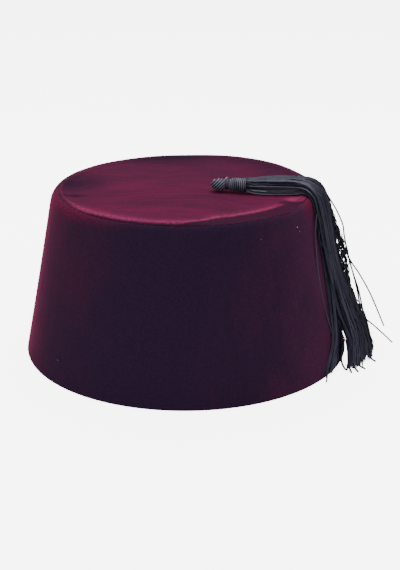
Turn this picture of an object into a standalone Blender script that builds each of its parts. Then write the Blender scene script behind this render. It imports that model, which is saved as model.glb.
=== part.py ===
# A velvet fez with a silk tassel, resting on its rim, in metres with +Z up.
# The origin is the centre of the head opening, on the plane that the rim rests on.
# The tassel lies on the top from near its centre and falls over the edge on the +X side.
import math

import bpy
import bmesh
from mathutils import Matrix, Vector

# Crown: a stiff cloth-covered wall that narrows upwards and rolls over to the top.
# The side's straight taper, drawn on up to the ridge's height, ends at EDGE_RADIUS.
RIM_RADIUS = 0.0950
EDGE_RADIUS = 0.0760
RIDGE_HEIGHT = 0.0962
SHOULDER_DROP = 0.0056
WALL_THICKNESS = 0.0025
RIM_ROUND = 0.0007

# Top: a stiff disc with a raised ridge, whose lip meets the wall at a seam on the shoulder.
# SEAM_SHARE is how far round the shoulder the seam lies, from the ridge down.
RIDGE_INSET = 0.0048
SEAM_SHARE = 0.52
TOP_SINK = 0.0008
ROLL_WIDTH = 0.0055
PLUG_DEPTH = 0.0016

# Tassel: a wound ball, a wound collar and the skirt of strands
BALL_RADIUS = 0.0042
BALL_X = 0.0186
BALL_Y = -0.0114
HEAD_YAW = math.radians(-12)
NECK_RADIUS = 0.0026
NECK_LENGTH = 0.0024
COLLAR_RADIUS = 0.0041
COLLAR_WAIST = 0.0038
COLLAR_LENGTH = 0.0094
LOCK_RADIUS = 0.0026
LOCK_END_RADIUS = 0.0007
SKIRT_DEPTH = 0.0172
SKIRT_ROOT_LENGTH = 0.0040
SKIRT_AZIMUTH = math.radians(-10.5)
SKIRT_FAN = math.radians(9.5)
FOOT_SWAY = math.radians(12)
FOOT_LIFT = 0.0100
FLOOR_CLEARANCE = 0.0012

CLEARANCE = 0.0003
ROUND_STEPS = 96
HEAD_STEPS = 20
LOCK_SIDES = 8
LOCK_POINTS_PER_STATION = 2
CORE_SIDES = 12

# The skirt's run over the crown: along the top, over the shoulder and down the wall.
# share is how far along that stretch a station lies, depth is the skirt's depth there
# in SKIRT_DEPTH, girth a lock's radius in LOCK_RADIUS, and fan its spread in SKIRT_FAN.
STATION_COLUMNS = ("stretch", "share", "depth", "girth", "fan")
STATIONS = (
    ("top", 0.00, 0.48, 0.62, 0.00),
    ("top", 0.35, 0.51, 0.92, 0.66),
    ("top", 0.75, 0.49, 0.94, 0.94),
    ("ridge", 0.00, 0.42, 0.86, 0.80),
    ("shoulder", 0.50, 0.33, 0.76, 0.92),
    ("shoulder", 1.00, 0.37, 0.78, 0.97),
    ("wall", 0.16, 0.49, 0.92, 1.02),
    ("wall", 0.35, 0.60, 1.00, 1.03),
    ("wall", 0.52, 0.58, 1.00, 1.05),
    ("wall", 0.69, 0.67, 0.96, 1.08),
    ("wall", 0.85, 0.86, 0.80, 1.12),
    ("wall", 1.00, 1.00, 0.27, 1.15),
)

# Each lock: side is its place across the skirt from -1 to 1, layer its place through the
# depth from the wall outwards, sway its swing at the foot in FOOT_SWAY, lift how high its
# tip ends in FOOT_LIFT, and girth its own share of the radius.
LOCK_COLUMNS = ("side", "layer", "sway", "lift", "girth")
LOCKS = (
    (-1.00, 0.00, -1.20, 0.00, 0.90),
    (-0.70, 0.00, -0.85, 0.10, 1.00),
    (-0.38, 0.04, -0.20, 0.05, 1.00),
    (-0.05, 0.02, 0.05, 0.20, 1.00),
    (0.28, 0.05, 0.00, 0.10, 1.00),
    (0.62, 0.02, 0.10, 0.25, 1.00),
    (0.97, 0.00, 0.15, 0.30, 0.90),
    (-0.86, 0.45, -0.45, 0.10, 0.92),
    (-0.54, 0.60, -0.60, 0.00, 1.00),
    (-0.20, 0.85, -0.45, 0.05, 1.00),
    (0.13, 1.00, -0.25, 0.15, 1.00),
    (0.46, 0.92, 0.05, 0.00, 1.00),
    (0.80, 1.00, 0.10, 0.35, 0.90),
    (0.00, 0.48, -0.15, 0.15, 1.00),
    (0.50, 0.50, 0.00, 0.05, 0.95),
)

# The backing that the locks are fused to runs down to this row of STATIONS, and takes
# these shares of the skirt's spread and depth.
CORE_STATIONS = 9
CORE_SPREAD = 0.95
CORE_LAYERS = (0.00, 1.00)

# Derived places
RIDGE_RADIUS = EDGE_RADIUS - RIDGE_INSET
TOP_HEIGHT = RIDGE_HEIGHT - TOP_SINK
SHOULDER_BASE = RIDGE_HEIGHT - SHOULDER_DROP
TASSEL_AXIS = Vector((math.cos(HEAD_YAW), math.sin(HEAD_YAW), 0))
BALL_CENTRE = Vector((BALL_X, BALL_Y, TOP_HEIGHT + CLEARANCE + BALL_RADIUS))
COLLAR_START = BALL_CENTRE + TASSEL_AXIS * (BALL_RADIUS + NECK_LENGTH)
SKIRT_START = COLLAR_START + TASSEL_AXIS * (COLLAR_LENGTH + CLEARANCE)


def cloth_material(name, colour, roughness):
    material = bpy.data.materials.new(name)
    material.use_nodes = True
    shader = material.node_tree.nodes["Principled BSDF"]
    shader.inputs["Base Color"].default_value = (*colour, 1)
    shader.inputs["Roughness"].default_value = roughness
    shader.inputs["Metallic"].default_value = 0
    return material


def add_object(name, mesh, material, collection):
    part = bpy.data.objects.new(name, mesh)
    mesh.materials.append(material)
    collection.objects.link(part)
    return part


def turned_part(name, profile, closed, steps, material, collection):
    """A profile of (radius, height) points, top to bottom down its outer side, turned about Z."""
    mesh = bpy.data.meshes.new(name)
    vertices = [(radius, 0, height) for radius, height in profile]
    edges = [(i, i + 1) for i in range(len(vertices) - 1)]
    if closed:
        edges.append((len(vertices) - 1, 0))
    mesh.from_pydata(vertices, edges, [])
    part = add_object(name, mesh, material, collection)
    screw = part.modifiers.new("turn", "SCREW")
    screw.axis = "Z"
    screw.angle = math.tau
    screw.steps = steps
    screw.render_steps = steps
    screw.use_merge_vertices = True
    screw.merge_threshold = 0.00001
    screw.use_smooth_shade = True
    return part


def arc_points(centre, radius, start, end, steps):
    """Points on an arc about a (radius, height) centre, angles in degrees from +X."""
    angles = [math.radians(start + (end - start) * i / steps) for i in range(steps + 1)]
    return [
        (centre[0] + radius * math.cos(a), centre[1] + radius * math.sin(a)) for a in angles
    ]


def wall_radius(height):
    """The outer radius of the side's straight taper at a height above the rim."""
    return RIM_RADIUS + (EDGE_RADIUS - RIM_RADIUS) * height / RIDGE_HEIGHT


def shoulder_point(share):
    """The (radius, height) on the rolled shoulder, from the ridge at 0 to the taper at 1."""
    weights = ((1 - share) ** 2, 2 * share * (1 - share), share**2)
    radii = (RIDGE_RADIUS, EDGE_RADIUS, wall_radius(SHOULDER_BASE))
    heights = (RIDGE_HEIGHT, RIDGE_HEIGHT, SHOULDER_BASE)
    radius = sum(w * r for w, r in zip(weights, radii))
    return radius, sum(w * h for w, h in zip(weights, heights))


def crown_side(material, collection):
    """The wall: down the shoulder from the seam, down the taper, round the rim and back up inside."""
    seam_radius, seam_height = shoulder_point(SEAM_SHARE)
    profile = [(seam_radius, seam_height - CLEARANCE)]
    shoulder_steps = 3
    for i in range(1, shoulder_steps + 1):
        profile.append(shoulder_point(SEAM_SHARE + (1 - SEAM_SHARE) * i / shoulder_steps))
    rim_centre = (wall_radius(RIM_ROUND) - RIM_ROUND, RIM_ROUND)
    profile += arc_points(rim_centre, RIM_ROUND, 0, -90, 3)
    profile += [
        (RIM_RADIUS - WALL_THICKNESS, 0),
        (wall_radius(SHOULDER_BASE) - WALL_THICKNESS, SHOULDER_BASE),
        (seam_radius - WALL_THICKNESS, seam_height - CLEARANCE),
    ]
    return turned_part("crown_side", profile, True, ROUND_STEPS, material, collection)


def top_profile():
    """The disc from its centre out over the ridge, down the shoulder to the seam and in below."""
    points = [(0, TOP_HEIGHT)]
    roll_steps = 3
    for i in range(roll_steps + 1):
        share = i / roll_steps
        rise = (1 - math.cos(math.pi * share)) / 2
        radius = RIDGE_RADIUS - ROLL_WIDTH * (1 - share)
        points.append((radius, TOP_HEIGHT + TOP_SINK * rise))
    shoulder_steps = 3
    for i in range(1, shoulder_steps + 1):
        points.append(shoulder_point(SEAM_SHARE * i / shoulder_steps))
    seam_radius, seam_height = points[-1]
    plug_radius = seam_radius - WALL_THICKNESS - CLEARANCE
    points += [
        (plug_radius, seam_height),
        (plug_radius, seam_height - PLUG_DEPTH),
        (0, seam_height - PLUG_DEPTH),
    ]
    return points


def crown_top(material, collection):
    return turned_part("crown_top", top_profile(), False, ROUND_STEPS, material, collection)


def along_tassel(part, start):
    """Lays a part that was turned about Z along the tassel's axis, its base at start."""
    turn = TASSEL_AXIS.to_track_quat("Z", "Y").to_matrix().to_4x4()
    part.matrix_world = Matrix.Translation(start) @ turn
    return part


def tassel_ball(material, collection):
    """The wound ball, with the bound neck that runs from it to the collar."""
    neck_end = BALL_RADIUS + NECK_LENGTH - CLEARANCE
    joint_angle = math.degrees(math.acos(NECK_RADIUS / BALL_RADIUS))
    profile = [(0, neck_end), (NECK_RADIUS, neck_end)]
    profile += arc_points((0, 0), BALL_RADIUS, joint_angle, -90, 9)
    profile[-1] = (0, -BALL_RADIUS)
    ball = turned_part("tassel_ball", profile, False, HEAD_STEPS, material, collection)
    return along_tassel(ball, BALL_CENTRE)


def tassel_collar(material, collection):
    """The wound collar: a slightly waisted roll whose last turns at the skirt stand proud."""
    edge = COLLAR_RADIUS - COLLAR_WAIST
    profile = [
        (0, COLLAR_LENGTH),
        (COLLAR_RADIUS - edge, COLLAR_LENGTH),
        (COLLAR_RADIUS, COLLAR_LENGTH - edge),
        (COLLAR_RADIUS, COLLAR_LENGTH * 0.76),
        (COLLAR_WAIST, COLLAR_LENGTH * 0.70),
        (COLLAR_WAIST, edge * 2),
        (COLLAR_WAIST - edge, edge),
        (COLLAR_WAIST - edge * 3, 0),
        (0, 0),
    ]
    collar = turned_part("tassel_collar", profile, False, HEAD_STEPS, material, collection)
    return along_tassel(collar, COLLAR_START)


def row_at(columns, row):
    return dict(zip(columns, row))


def station_point(station, lock):
    """The centre and radius of one lock at one station."""
    radius = LOCK_RADIUS * station["girth"] * lock["girth"]
    spare = SKIRT_DEPTH * station["depth"] - 2 * radius
    stand_off = CLEARANCE + radius + max(spare, 0) * lock["layer"]
    azimuth = SKIRT_AZIMUTH + SKIRT_FAN * station["fan"] * lock["side"]
    outward = Vector((math.cos(azimuth), math.sin(azimuth), 0))
    up = Vector((0, 0, 1))
    if station["stretch"] == "top":
        start = SKIRT_START + TASSEL_AXIS * SKIRT_ROOT_LENGTH * 0.4
        side = (COLLAR_RADIUS - radius) * lock["side"] * 0.8
        start = start + TASSEL_AXIS.cross(up) * -side
        end_azimuth = SKIRT_AZIMUTH + SKIRT_FAN * 0.8 * lock["side"]
        end = Vector((math.cos(end_azimuth), math.sin(end_azimuth), 0)) * RIDGE_RADIUS
        point = start.lerp(end, station["share"])
        spread = station["fan"] - station["share"] * 0.8
        point += Vector((0, 1, 0)) * RIDGE_RADIUS * SKIRT_FAN * lock["side"] * spread
        point.z = TOP_HEIGHT + stand_off
    elif station["stretch"] == "ridge":
        point = outward * RIDGE_RADIUS + up * (RIDGE_HEIGHT + stand_off)
    elif station["stretch"] == "shoulder":
        edge_radius, edge_height = shoulder_point(station["share"])
        lean = (outward * station["share"] + up * (1 - station["share"])).normalized()
        point = outward * edge_radius + up * edge_height + lean * stand_off
    else:
        foot = FLOOR_CLEARANCE + LOCK_END_RADIUS + FOOT_LIFT * lock["lift"]
        drop = station["share"]
        height = SHOULDER_BASE + (foot - SHOULDER_BASE) * drop
        azimuth += FOOT_SWAY * lock["sway"] * drop**5
        outward = Vector((math.cos(azimuth), math.sin(azimuth), 0))
        point = outward * (wall_radius(height) + stand_off) + up * height
    return point, max(radius, LOCK_END_RADIUS)


def smooth_route(stations):
    """A Catmull-Rom curve through the stations' centres and radii."""
    points = [Vector((*centre, radius)) for centre, radius in stations]
    points = [points[0] * 2 - points[1], *points, points[-1] * 2 - points[-2]]
    route = []
    for before, start, end, after in zip(points, points[1:], points[2:], points[3:]):
        for i in range(LOCK_POINTS_PER_STATION):
            t = i / LOCK_POINTS_PER_STATION
            bend = (before - start) * -1 * t + (2 * before - 5 * start + 4 * end - after) * t**2
            bend += (3 * start - before - 3 * end + after) * t**3 + (end - start) * t
            route.append(start + bend / 2)
    route.append(points[-2])
    return route


def lock_solid(index, lock, material, cutters):
    """One lock of strands: a tube with its own radius at each point, closed at both ends."""
    stations = [station_point(row_at(STATION_COLUMNS, row), lock) for row in STATIONS]
    route = smooth_route(stations)
    curve = bpy.data.curves.new(f"lock_{index}", "CURVE")
    curve.dimensions = "3D"
    curve.bevel_depth = LOCK_RADIUS
    curve.bevel_resolution = int(LOCK_SIDES) // 2 - 2
    curve.use_fill_caps = True
    spline = curve.splines.new("POLY")
    spline.points.add(len(route) - 1)
    for point, place in zip(spline.points, route):
        point.co = (*place[:3], 1)
        point.radius = place[3] / LOCK_RADIUS
    tube = bpy.data.objects.new(f"lock_{index}", curve)
    cutters.objects.link(tube)
    graph = bpy.context.evaluated_depsgraph_get()
    mesh = bpy.data.meshes.new_from_object(tube.evaluated_get(graph))
    welded = bmesh.new()
    welded.from_mesh(mesh)
    bmesh.ops.remove_doubles(welded, verts=welded.verts, dist=0.00001)
    welded.to_mesh(mesh)
    welded.free()
    solid = add_object(f"lock_solid_{index}", mesh, material, cutters)
    solid.matrix_world = tube.matrix_world
    bpy.data.objects.remove(tube)
    solid.hide_render = True
    solid.display_type = "WIRE"
    return solid


def squared(wave):
    """A sine or cosine pushed outwards, which turns an oval into a box with round corners."""
    return math.copysign(math.sqrt(abs(wave)), wave)


def skirt_core(material, cutters):
    """The backing: a rounded box section through the locks' centres, lofted along the stations."""
    routes = []
    low, high = CORE_LAYERS
    for i in range(CORE_SIDES):
        turn = math.tau * i / CORE_SIDES
        place = {
            "side": CORE_SPREAD * squared(math.cos(turn)),
            "layer": (low + high) / 2 + (high - low) / 2 * squared(math.sin(turn)),
            "sway": 0,
            "lift": 0,
            "girth": 1,
        }
        rows = [row_at(STATION_COLUMNS, row) for row in STATIONS[:CORE_STATIONS]]
        routes.append(smooth_route([station_point(row, place) for row in rows]))
    loft = bmesh.new()
    rings = [[loft.verts.new(place[:3]) for place in ring] for ring in zip(*routes)]
    for ring, after in zip(rings, rings[1:]):
        for i in range(CORE_SIDES):
            j = (i + 1) % CORE_SIDES
            loft.faces.new((ring[i], ring[j], after[j], after[i]))
    loft.faces.new(rings[0])
    loft.faces.new(rings[-1])
    bmesh.ops.recalc_face_normals(loft, faces=loft.faces)
    mesh = bpy.data.meshes.new("skirt_core")
    loft.to_mesh(mesh)
    loft.free()
    core = add_object("skirt_core", mesh, material, cutters)
    core.hide_render = True
    core.display_type = "WIRE"
    return core


def tassel_skirt(material, collection, cutters):
    """The locks fused to their backing and to a short round root that starts at the collar."""
    rounding = COLLAR_WAIST * 0.3
    profile = [
        (0, SKIRT_ROOT_LENGTH),
        (COLLAR_WAIST - rounding, SKIRT_ROOT_LENGTH),
        (COLLAR_WAIST, SKIRT_ROOT_LENGTH - rounding),
        (COLLAR_WAIST, 0),
        (0, 0),
    ]
    skirt = turned_part("tassel_skirt", profile, False, HEAD_STEPS, material, collection)
    along_tassel(skirt, SKIRT_START)
    skirt_core(material, cutters)
    for index, row in enumerate(LOCKS):
        lock_solid(index, row_at(LOCK_COLUMNS, row), material, cutters)
    fuse = skirt.modifiers.new("fuse locks", "BOOLEAN")
    fuse.operation = "UNION"
    fuse.operand_type = "COLLECTION"
    fuse.collection = cutters
    fuse.solver = "EXACT"
    return skirt


def build():
    for old in list(bpy.data.objects):
        bpy.data.objects.remove(old)
    hat = bpy.data.collections.new("fez_hat")
    cutters = bpy.data.collections.new("skirt_locks")
    bpy.context.scene.collection.children.link(hat)
    bpy.context.scene.collection.children.link(cutters)

    wall_velvet = cloth_material("wine_velvet_side", (0.024, 0.010, 0.027), 0.85)
    top_velvet = cloth_material("wine_velvet_top", (0.130, 0.023, 0.066), 0.80)
    wound_silk = cloth_material("wound_silk", (0.060, 0.062, 0.100), 0.45)
    loose_silk = cloth_material("loose_silk", (0.022, 0.018, 0.036), 0.50)

    crown_side(wall_velvet, hat)
    crown_top(top_velvet, hat)
    tassel_ball(wound_silk, hat)
    tassel_collar(wound_silk.copy(), hat)
    tassel_skirt(loose_silk, hat, cutters)


build()
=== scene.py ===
import math

import bpy
import numpy as np
from mathutils import Matrix, Vector


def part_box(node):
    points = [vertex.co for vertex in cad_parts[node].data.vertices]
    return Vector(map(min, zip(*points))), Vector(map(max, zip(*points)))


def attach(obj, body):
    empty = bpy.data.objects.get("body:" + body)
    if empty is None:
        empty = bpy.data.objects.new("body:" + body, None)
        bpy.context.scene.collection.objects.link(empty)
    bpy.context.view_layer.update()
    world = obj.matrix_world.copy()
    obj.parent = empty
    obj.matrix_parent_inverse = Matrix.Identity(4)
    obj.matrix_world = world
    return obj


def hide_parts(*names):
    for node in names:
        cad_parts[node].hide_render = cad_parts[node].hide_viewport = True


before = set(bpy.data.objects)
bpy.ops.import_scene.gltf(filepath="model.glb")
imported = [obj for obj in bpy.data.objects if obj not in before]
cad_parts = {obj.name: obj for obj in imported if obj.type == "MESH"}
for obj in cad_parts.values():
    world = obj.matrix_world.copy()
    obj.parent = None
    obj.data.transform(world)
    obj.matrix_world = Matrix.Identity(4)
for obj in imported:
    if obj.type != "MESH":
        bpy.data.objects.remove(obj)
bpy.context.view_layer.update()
mm = 0.001
print("frame loaded")

# What every piece is measured from
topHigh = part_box("crown_top")[1]
ballLow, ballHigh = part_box("tassel_ball")
collarLow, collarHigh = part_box("tassel_collar")
hat = {
    "rimRadius": 95.0 * mm,
    "edgeRadius": 76.0 * mm,  # where the side's straight taper would meet the ridge's height
    "ridgeHeight": topHigh[2],
    "ridgeInset": 4.8 * mm,
    "shoulderDrop": 5.6 * mm,
    "seamShare": 0.52,
    "leftClimb": 0.40,  # how far the seam climbs to the ridge at the left
    "tasselClimb": 0.46,  # and beside the tassel
    "sink": 0.8 * mm,
    "wall": 2.5 * mm,
    "gap": 0.3 * mm,
    "pressedRise": (-94.0, -72.0),  # degrees over which the pressed-down front edge sets in
    "pressedFall": (-33.0, -25.0),  # and ends
    "chamfer": 6.5 * mm,  # how far it reaches into the top
}
ridgeRadius = hat["edgeRadius"] - hat["ridgeInset"]
shoulderBase = hat["ridgeHeight"] - hat["shoulderDrop"]
topFlat = hat["ridgeHeight"] - hat["sink"]
ballRadius = (ballHigh[2] - ballLow[2]) / 2
ballCentre = Vector(ballLow) + Vector((ballRadius,) * 3)
collarCentre = (Vector(collarLow) + Vector(collarHigh)) / 2
tasselAxis = (collarCentre - ballCentre) * Vector((1, 1, 0))
tasselAxis.normalize()


def coneRadius(height):  # the side's straight taper
    slope = (hat["rimRadius"] - hat["edgeRadius"]) / hat["ridgeHeight"]
    return hat["rimRadius"] - slope * height


def shoulderPoint(share):  # (radius, height) down the rolled shoulder, from ridge to taper
    first, middle, last = (1 - share) ** 2, 2 * share * (1 - share), share**2
    radius = first * ridgeRadius + middle * hat["edgeRadius"] + last * coneRadius(shoulderBase)
    return radius, (first + middle) * hat["ridgeHeight"] + last * shoulderBase


seamRadius, seamHeight = shoulderPoint(hat["seamShare"])


def bell(value, centre, width):  # a smooth bump of height 1
    return np.exp(-(((value - centre) / width) ** 2))


def turnBell(azimuth, centre, width):  # the same round the crown, in degrees
    apart = (np.degrees(azimuth) - centre + 180) % 360 - 180
    return np.exp(-((apart / width) ** 2))


def smoothStep(value, ends):  # 0 below the first end, 1 above the second
    share = np.clip((value - ends[0]) / (ends[1] - ends[0]), 0, 1)
    return share**2 * (3 - 2 * share)


def ramp(value, start, run):  # 0 at start, 1 a run further
    return np.clip((value - start) / run, 0, 1)


def seamShareAt(azimuth):
    left = hat["leftClimb"] * turnBell(azimuth, 178, 34)
    return hat["seamShare"] - (left + hat["tasselClimb"] * turnBell(azimuth, -20, 12))


# Mesh building
def meshObject(name, points, faces, material, stands=()):
    mesh = bpy.data.meshes.new(name)
    mesh.from_pydata(np.asarray(points).tolist(), [], faces)
    mesh.validate()
    mesh.shade_smooth()
    mesh.materials.append(material)
    piece = bpy.data.objects.new(name, mesh)
    bpy.context.scene.collection.objects.link(piece)
    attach(piece, "root")
    if stands:
        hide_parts(*stands)
    return piece


def pointValues(piece, name, values):  # a number for each point, for the material to read
    values = np.asarray(values, np.float32)
    piece.data.attributes.new(name, "FLOAT", "POINT").data.foreach_set("value", values)


def roundTurns(segments):  # the azimuth of each segment
    return np.linspace(0, 2 * math.pi, segments, endpoint=False)[None, :]


def turnedRings(profile, segments, shape):
    # Turns a profile of (radius, height) round the crown, bent by shape at each azimuth
    azimuth = roundTurns(segments)
    radius = np.stack([np.broadcast_to(p[0], azimuth.shape)[0] for p in profile])
    height = np.stack([np.broadcast_to(p[1], azimuth.shape)[0] for p in profile])
    radius, height = shape(radius, height, azimuth)
    x, y = radius * np.cos(azimuth), radius * np.sin(azimuth)
    return np.stack([x, y, height + 0 * azimuth], axis=2)


def ringFaces(ringCount, segments, loop):
    faces = []
    for i in range(ringCount if loop else ringCount - 1):
        j = (i + 1) % ringCount
        for k in range(segments):
            n = (k + 1) % segments
            faces.append((i * segments + k, j * segments + k, j * segments + n, i * segments + n))
    return faces


def tubeFaces(rings, sides):  # a tube closed at both ends, its faces outward
    faces = []
    for low in range(0, (rings - 1) * sides, sides):
        for k in range(sides):
            m = (k + 1) % sides
            faces.append((low + k, low + sides + k, low + sides + m, low + m))
    return faces + [tuple(range(sides)), tuple(reversed(range((rings - 1) * sides, rings * sides)))]


def arc(centre, radius, start, end, steps):  # degrees, as (radius, height) points
    turns = np.radians(np.linspace(start, end, steps + 1))
    return [(centre[0] + radius * math.cos(t), centre[1] + radius * math.sin(t)) for t in turns]


def smoothRoutes(stations, steps):  # Catmull-Rom through an array of route, station, xyz
    first = 2 * stations[:, :1] - stations[:, 1:2]
    last = 2 * stations[:, -1:] - stations[:, -2:-1]
    p = np.concatenate([first, stations, last], axis=1)
    rows = []
    for i in range(stations.shape[1] - 1):
        a, b, c, d = p[:, i], p[:, i + 1], p[:, i + 2], p[:, i + 3]
        for k in range(steps):
            t = k / steps
            bend = (c - a) * t + (2 * a - 5 * b + 4 * c - d) * t**2
            rows.append(b + (bend + (3 * b - a - 3 * c + d) * t**3) / 2)
    rows.append(stations[:, -1])
    return np.stack(rows, axis=1)


def unitVectors(vectors):
    return vectors / (np.linalg.norm(vectors, axis=-1, keepdims=True) + 1e-12)


def tubePiece(name, routes, radius, sides, tones, material, stands=(), aside=(0, 1, 0)):
    # Many tubes as one mesh. radius and tones broadcast to one number for each point, and
    # no tube runs along aside.
    count, length = routes.shape[:2]
    radius = np.broadcast_to(np.asarray(radius, float), (count, length))[..., None]
    tangent = unitVectors(np.gradient(routes, axis=1))
    across = unitVectors(np.cross(tangent, np.array(aside, float)))
    upward = np.cross(across, tangent)
    rings = []
    for k in range(sides):
        turn = 2 * math.pi * k / sides
        rings.append(routes + radius * (math.cos(turn) * across + math.sin(turn) * upward))
    points = np.stack(rings, axis=2).reshape(-1, 3)
    faces = []
    for base in range(0, len(points), length * sides):
        faces += [tuple(base + corner for corner in face) for face in tubeFaces(length, sides)]
    piece = meshObject(name, points, faces, material, stands)
    tones = np.broadcast_to(tones, (count, length)).reshape(-1)
    pointValues(piece, "tone", np.repeat(tones, sides))


# Shader maths written as Python
class shaderValue:
    def __init__(self, tree, socket=None):
        self.tree = tree
        self.socket = socket

    def add(self, kind, settings=None, values=None, output=0):
        node = self.tree.nodes.new(kind)
        for name, setting in (settings or {}).items():
            setattr(node, name, setting)
        for name, value in (values or {}).items():
            self.plug(node.inputs[name], value)
        return shaderValue(self.tree, node.outputs[output])

    def plug(self, target, value):
        if isinstance(value, shaderValue):
            self.tree.links.new(value.socket, target)
        else:
            target.default_value = value

    def maths(self, operation, first, second=0.0):
        return self.add("ShaderNodeMath", {"operation": operation}, {0: first, 1: second})

    def __abs__(self):
        return self.maths("ABSOLUTE", self)

    def rooted(self):
        return self.maths("SQRT", self)

    def clamped(self, low=0.0, high=1.0):  # 0 below low, 1 above high, smooth between
        values = {"Value": self, "From Min": low, "From Max": high}
        return self.add("ShaderNodeMapRange", {"interpolation_type": "SMOOTHSTEP"}, values)

    def peak(self, centre, width):  # 1 at the centre, 0 a width away on either side
        return 1 - abs(self - centre).clamped(0.0, width)

    def blend(self, dark, light):  # colours, mixed by this value
        colours = {"Factor": self, 6: dark, 7: light}
        return self.add("ShaderNodeMix", {"data_type": "RGBA"}, colours, output=2)

    def stretched(self, x, y, z):  # coordinates scaled along each axis
        values = {0: self, 1: (x, y, z)}
        return self.add("ShaderNodeVectorMath", {"operation": "MULTIPLY"}, values)

    def parts(self):  # x, y and z of coordinates
        node = self.add("ShaderNodeSeparateXYZ", {}, {"Vector": self}).socket.node
        return [shaderValue(self.tree, node.outputs[i]) for i in range(3)]

    def joined(self, y, z):  # three values as coordinates
        return self.add("ShaderNodeCombineXYZ", {}, {0: self, 1: y, 2: z})

    def noise(self, scale, detail=2, roughness=0.5):
        values = {"Vector": self, "Scale": scale, "Detail": detail, "Roughness": roughness}
        return self.add("ShaderNodeTexNoise", {}, values)

    def bump(self, strength, distance, over=None):
        values = {"Height": self, "Strength": strength, "Distance": distance}
        if over is not None:
            values["Normal"] = over
        return self.add("ShaderNodeBump", {}, values)


def operator(operation, reflected):
    if reflected:
        return lambda self, other: self.maths(operation, other, self)
    return lambda self, other: self.maths(operation, self, other)


for word, operation in (("add", "ADD"), ("sub", "SUBTRACT"), ("mul", "MULTIPLY")):
    setattr(shaderValue, f"__{word}__", operator(operation, False))
    setattr(shaderValue, f"__r{word}__", operator(operation, True))


def newMaterial(name):  # gives the material, its shader node and the object coordinates
    material = bpy.data.materials.new(name)
    material.use_nodes = True
    tree = material.node_tree
    shader = tree.nodes["Principled BSDF"]
    place = shaderValue(tree).add("ShaderNodeTexCoord", output=3)
    return material, shader, place


def rgba(colour, strength=1.0):
    return (colour[0] * strength, colour[1] * strength, colour[2] * strength, 1)


def finishShader(shader, place, uniform, varied):
    for name, value in uniform.items():
        shader.inputs[name].default_value = value
    for name, value in varied.items():
        place.plug(shader.inputs[name], value)


# Velvet
velvetLook = {
    "night": (0.0198, 0.0092, 0.0272),  # the pile seen straight on
    "plum": (0.044, 0.0085, 0.026),
    "mauve": (0.046, 0.013, 0.039),
    "wine": (0.088, 0.0085, 0.034),
    "rose": (0.24, 0.03, 0.09),  # worn pile with painted highlight along the ridge's folds
    "sheen": 0.24,
    "sheenRoughness": 0.30,
    "sheenTint": (0.90, 0.045, 0.25, 1),
    "patch": 24.0,  # patches of nap across a metre
    "grain": 1500.0,
}
sideTurns = {  # degrees round the crown, as centre and width, or else as said
    "left": (106.0, 170.0),  # where it starts and is full
    "right": (-16.0, 8.0, 72.0),  # the centre, and how far off it is full and ends
    "besideTassel": (-25.0, 13.0),
    "tasselCornerHighlight": (-26.0, 12.0),
    "rimGlow": (-44.0, 26.0),
    "leftFold": (-142.0, 42.0),
}
sideReach = {  # mm below the seam where a mark ends, and where it is full
    "underSeam": (14, 1),
    "seamFold": (2.4, 0.4),
    "tasselCornerHighlight": (12, 2),
    "leftFold": (8, 0.5),
    "rimGlow": (2, 26),  # mm above the rim where it is full, and where it ends
}
sideMarks = {  # how strongly each mark warms the side: the nap's own patches and streaks, then painted sheen toward the left and right and beside the tassel, and painted light near the rim; the last four lighten it toward wine, at the tassel's corner as a painted highlight and in the left streaks as painted sheen
    "nap": 0.30,
    "streaks": 0.10,
    "left": 0.50,
    "leftUnderSeam": 0.28,
    "right": 0.50,
    "besideTassel": 0.32,
    "rimGlow": 0.50,
    "seamFold": 0.12,
    "leftStreaks": 0.35,
    "tasselCornerHighlight": 0.80,
    "leftFold": 0.40,
}
topMarks = {  # x centre and width, y centre and width in mm, then strength; leftDark and leftWedge are painted shade, ballGlow is painted light
    "leftDark": (-65, 32, 8, 34, 1.10),
    "leftWedge": (-62, 15, -21, 6, 1.10),
    "ballGlow": (14, 40, -12, 44, 0.06),
}
topEdges = {  # mm where a part of the top sets in, and where it is full
    "back": (28, 72),
    "front": (18, 62),
    "frontFold": (26, 50),
    "right": (20, 66),
    "rightBackAcross": (14, 52),
    "rightBackAlong": (-4, 20),
}
ridgeMarks = {  # mm on the top along the ridge, or degrees round it where said
    "lineOutward": 1.7,  # from the ridge to the bright line
    "leftInward": 1.5,
    "pressedInward": 1.6,  # with the chamfer
    "leftDegrees": (138.0, 160.0),
    "leftLine": (0.1, 0.9),  # way inward and width, as in those that follow
    "frontFold": (1.1, 2.4),
    "frontFoldWider": 1.4,  # where the edge is pressed down
    "glow": (3.6, 9.0),
    "patch": (6.0, 7.5),
    "patchDegrees": (-25.5, 9.0),
    "band": (0.6, 2.1),  # where the painted shade past the line sets in and is full
    "notch": (11.5, 8.0),  # way inward where the notch's painted shade sets in and is full
    "notchDegrees": (-32.2, 5.5),
}
topLight = {  # how light the nap is, and how strongly each painted light or painted shade shows
    "base": 0.02,
    "nap": 0.66,
    "front": 0.18,
    "right": 0.42,
    "leftLoss": 0.40,
    "backLoss": 0.44,
    "backDark": 0.95,
    "rightBackDark": 0.58,
    "patch": 0.80,
    "glow": 0.24,
}


def crownTurn(x, y):  # degrees round the crown, 0 to the right and -90 to the front
    return y.maths("ARCTAN2", y, x) * (180 / math.pi)


def pressedEdge(turn):  # 1 along the right front edge, where the top is pressed to the seam
    return turn.clamped(*hat["pressedRise"]) * (1 - turn.clamped(*hat["pressedFall"]))


def velvetGrain(place):
    fine = place.noise(velvetLook["grain"], 2, 0.6)
    return fine, fine.clamped(0.32, 0.7)


def pile(speckle, colour, dark, light):  # a colour of the pile, dark to light with its grain
    return speckle.blend(rgba(velvetLook[colour], dark), rgba(velvetLook[colour], light))


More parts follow.
